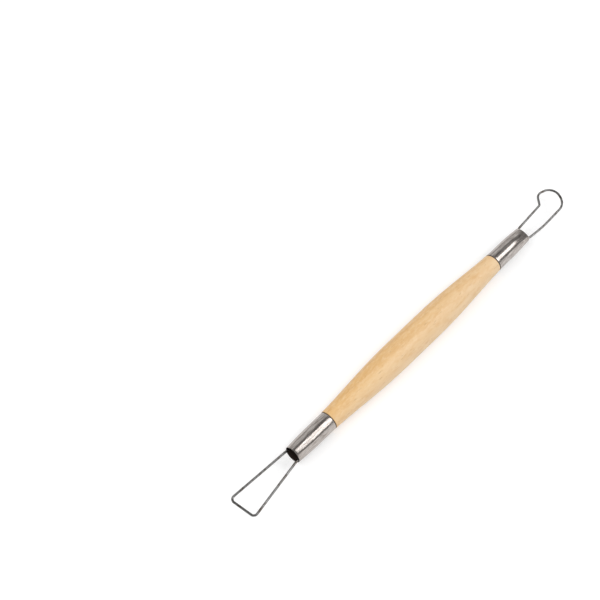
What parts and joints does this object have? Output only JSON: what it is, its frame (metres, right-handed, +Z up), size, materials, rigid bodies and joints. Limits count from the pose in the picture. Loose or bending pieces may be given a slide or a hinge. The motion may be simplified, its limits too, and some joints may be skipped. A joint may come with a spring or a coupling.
{
  "type": "wire loop modelling tool",
  "caption": "Double-ended clay modelling tool: a turned wooden handle with a square wire loop at one end and a keyhole wire loop at the other, each held in a plated ferrule.",
  "frame": {"origin": "middle of the bottom facet of the handle's belly, halfway between the two shoulders, where the tool touches the bench it lies on", "axes": "+X along the tool towards the keyhole loop, +Z up off the bench, +Y towards the keyhole loop's kinked side; both loops lie in the plane of X and Y at the height of the handle's axis"},
  "size_m": [0.2011, 0.0159, 0.0124],
  "materials": {
    "birch": "smooth sanded pale wood with fine lengthwise grain, thinly sealed",
    "nickel_plate": "bright nickel plate, a little warm, with faint drawing marks",
    "spring_wire": "bright drawn steel wire"
  },
  "bodies": {
    "root": {"wood_handle": "birch", "square_loop_ferrule": "nickel_plate", "keyhole_loop_ferrule": "nickel_plate", "square_wire_loop": "spring_wire", "keyhole_wire_loop": "spring_wire"}
  },
  "joints": []
}
